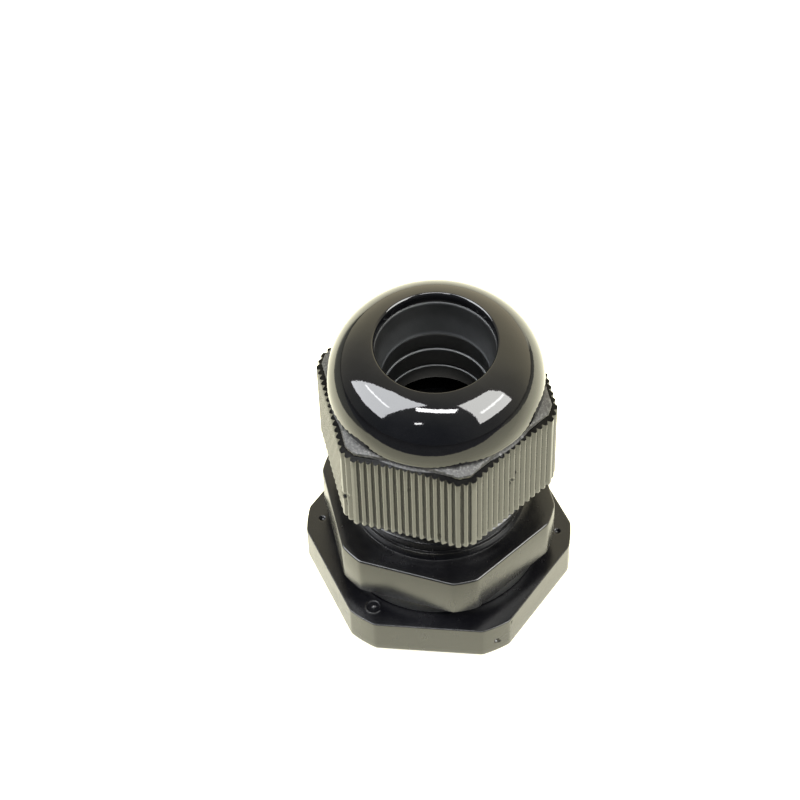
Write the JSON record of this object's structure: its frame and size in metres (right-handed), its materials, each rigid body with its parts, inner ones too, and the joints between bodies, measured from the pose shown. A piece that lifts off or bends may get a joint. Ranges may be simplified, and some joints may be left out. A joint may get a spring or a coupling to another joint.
{
  "type": "cable gland",
  "caption": "Plastic cable gland: hexagon body with two threads, ribbed dome cap, rubber sealing insert, clamp fingers, flat gasket and locknut, for strain relief of a cable through a panel.",
  "frame": {"origin": "on the axis, in the plane of the hexagon flange's underside, which seats on the panel through the gasket", "axes": "+Z along the axis from the entry thread towards the domed cap; two corners of the body's hexagon lie on -Y and +Y"},
  "size_m": [0.0288, 0.0294, 0.0402],
  "materials": {
    "body_nylon": "moulded black polyamide, satin",
    "cap_nylon": "moulded black polyamide, polished dome and satin grip",
    "nut_nylon": "moulded black polyamide, satin",
    "insert_rubber": "black nitrile rubber, soft sheen",
    "gasket_rubber": "black flat rubber"
  },
  "bodies": {
    "gland_body": {"gland_body": "body_nylon"},
    "insert": {"sealing_insert": "insert_rubber"},
    "cap": {"dome_cap": "cap_nylon"},
    "gasket": {"panel_gasket": "gasket_rubber"},
    "locknut": {"locknut": "nut_nylon"},
    "finger_01": {"clamp_finger_01": "body_nylon"},
    "finger_02": {"clamp_finger_02": "body_nylon"},
    "finger_03": {"clamp_finger_03": "body_nylon"},
    "finger_04": {"clamp_finger_04": "body_nylon"},
    "finger_05": {"clamp_finger_05": "body_nylon"},
    "finger_06": {"clamp_finger_06": "body_nylon"},
    "finger_07": {"clamp_finger_07": "body_nylon"},
    "finger_08": {"clamp_finger_08": "body_nylon"},
    "finger_09": {"clamp_finger_09": "body_nylon"},
    "finger_10": {"clamp_finger_10": "body_nylon"},
    "finger_11": {"clamp_finger_11": "body_nylon"},
    "finger_12": {"clamp_finger_12": "body_nylon"}
  },
  "joints": [
    {"name": "cap_lift", "type": "slide", "parent": "gland_body", "child": "insert", "axis": [0, 0, 1], "range_m": [-0.0045, 0.0135]},
    {"name": "cap_turn", "type": "hinge", "parent": "insert", "child": "cap", "pos_m": [0, 0, 0], "axis": [0, 0, 1], "range_deg": [-1080, 3240]},
    {"name": "locknut_travel", "type": "slide", "parent": "gland_body", "child": "gasket", "axis": [0, 0, 1], "range_m": [-0.0075, 0]},
    {"name": "locknut_turn", "type": "hinge", "parent": "gasket", "child": "locknut", "pos_m": [0, 0, 0], "axis": [0, 0, 1], "range_deg": [-1800, 0]},
    {"name": "finger_flex_01", "type": "hinge", "parent": "gland_body", "child": "finger_01", "pos_m": [0.00745, 0, 0.0165], "axis": [0, 1, 0], "range_deg": [-8, 0], "stiffness_Nm_per_rad": 0.004, "deforming": ["sealing_insert"]},
    {"name": "finger_flex_02", "type": "hinge", "parent": "gland_body", "child": "finger_02", "pos_m": [0.00645, 0.00373, 0.0165], "axis": [-0.5, 0.866, 0], "range_deg": [-8, 0], "stiffness_Nm_per_rad": 0.004},
    {"name": "finger_flex_03", "type": "hinge", "parent": "gland_body", "child": "finger_03", "pos_m": [0.00373, 0.00645, 0.0165], "axis": [-0.866, 0.5, 0], "range_deg": [-8, 0], "stiffness_Nm_per_rad": 0.004},
    {"name": "finger_flex_04", "type": "hinge", "parent": "gland_body", "child": "finger_04", "pos_m": [0, 0.00745, 0.0165], "axis": [-1, 0, 0], "range_deg": [-8, 0], "stiffness_Nm_per_rad": 0.004},
    {"name": "finger_flex_05", "type": "hinge", "parent": "gland_body", "child": "finger_05", "pos_m": [-0.00373, 0.00645, 0.0165], "axis": [-0.866, -0.5, 0], "range_deg": [-8, 0], "stiffness_Nm_per_rad": 0.004},
    {"name": "finger_flex_06", "type": "hinge", "parent": "gland_body", "child": "finger_06", "pos_m": [-0.00645, 0.00373, 0.0165], "axis": [-0.5, -0.866, 0], "range_deg": [-8, 0], "stiffness_Nm_per_rad": 0.004},
    {"name": "finger_flex_07", "type": "hinge", "parent": "gland_body", "child": "finger_07", "pos_m": [-0.00745, 0, 0.0165], "axis": [0, -1, 0], "range_deg": [-8, 0], "stiffness_Nm_per_rad": 0.004},
    {"name": "finger_flex_08", "type": "hinge", "parent": "gland_body", "child": "finger_08", "pos_m": [-0.00645, -0.00373, 0.0165], "axis": [0.5, -0.866, 0], "range_deg": [-8, 0], "stiffness_Nm_per_rad": 0.004},
    {"name": "finger_flex_09", "type": "hinge", "parent": "gland_body", "child": "finger_09", "pos_m": [-0.00373, -0.00645, 0.0165], "axis": [0.866, -0.5, 0], "range_deg": [-8, 0], "stiffness_Nm_per_rad": 0.004},
    {"name": "finger_flex_10", "type": "hinge", "parent": "gland_body", "child": "finger_10", "pos_m": [0, -0.00745, 0.0165], "axis": [1, 0, 0], "range_deg": [-8, 0], "stiffness_Nm_per_rad": 0.004},
    {"name": "finger_flex_11", "type": "hinge", "parent": "gland_body", "child": "finger_11", "pos_m": [0.00373, -0.00645, 0.0165], "axis": [0.866, 0.5, 0], "range_deg": [-8, 0], "stiffness_Nm_per_rad": 0.004},
    {"name": "finger_flex_12", "type": "hinge", "parent": "gland_body", "child": "finger_12", "pos_m": [0.00645, -0.00373, 0.0165], "axis": [0.5, 0.866, 0], "range_deg": [-8, 0], "stiffness_Nm_per_rad": 0.004}
  ],
  "couplings": [
    {"joint": "cap_turn", "follows": "cap_lift", "rad_per_m": 4188.8},
    {"joint": "locknut_turn", "follows": "locknut_travel", "rad_per_m": 4188.8},
    {"joint": "finger_flex_02", "follows": "finger_flex_01", "ratio": 1},
    {"joint": "finger_flex_03", "follows": "finger_flex_01", "ratio": 1},
    {"joint": "finger_flex_04", "follows": "finger_flex_01", "ratio": 1},
    {"joint": "finger_flex_05", "follows": "finger_flex_01", "ratio": 1},
    {"joint": "finger_flex_06", "follows": "finger_flex_01", "ratio": 1},
    {"joint": "finger_flex_07", "follows": "finger_flex_01", "ratio": 1},
    {"joint": "finger_flex_08", "follows": "finger_flex_01", "ratio": 1},
    {"joint": "finger_flex_09", "follows": "finger_flex_01", "ratio": 1},
    {"joint": "finger_flex_10", "follows": "finger_flex_01", "ratio": 1},
    {"joint": "finger_flex_11", "follows": "finger_flex_01", "ratio": 1},
    {"joint": "finger_flex_12", "follows": "finger_flex_01", "ratio": 1}
  ]
}
